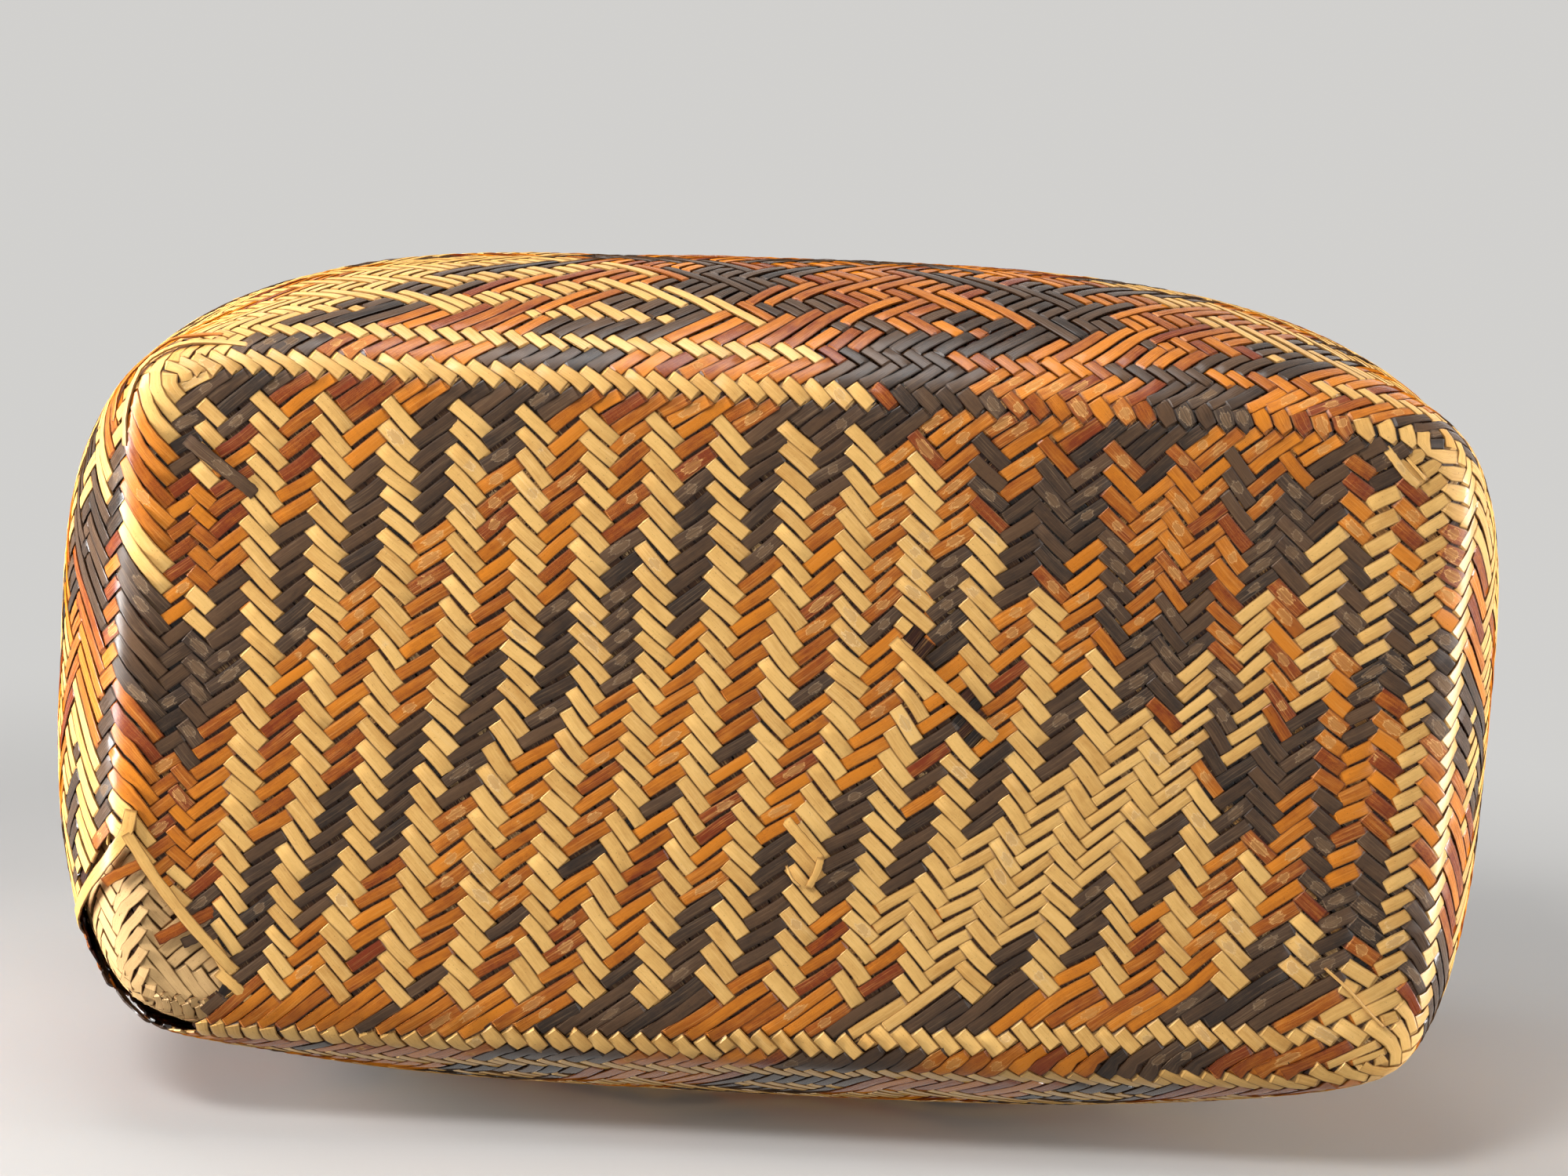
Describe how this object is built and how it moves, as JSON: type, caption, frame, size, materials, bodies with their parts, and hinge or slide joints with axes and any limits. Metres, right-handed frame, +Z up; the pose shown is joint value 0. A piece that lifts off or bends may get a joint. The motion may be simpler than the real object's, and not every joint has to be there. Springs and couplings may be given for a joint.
{
  "type": "lidded basket",
  "caption": "Oblong lidded basket plaited from split cane in two layers, with a rectangular base, swelling walls and a deep lift-off lid.",
  "frame": {"origin": "middle of the overall length and width, on the underside of the base", "axes": "+X along the basket's length, +Y across it, +Z up through the lid. The torn corner of the base is at -X, +Y."},
  "size_m": [0.458, 0.27, 0.2367],
  "materials": {
    "dyed_cane": "split river cane, straw with walnut-brown and orange-red dyed splints, glossy skin side out, worn satin on the base",
    "plain_cane": "split river cane, undyed, pale and fibrous, matt"
  },
  "bodies": {
    "basket": {"outer_basket": "dyed_cane", "inner_basket": "plain_cane", "mouth_fold": "dyed_cane"},
    "lid": {"lid_outer": "dyed_cane", "lid_inner": "plain_cane", "lid_fold": "dyed_cane"}
  },
  "joints": [
    {"name": "lid_lift", "type": "slide", "parent": "basket", "child": "lid", "axis": [0, 0, 1], "range_m": [0, 0.15]}
  ]
}
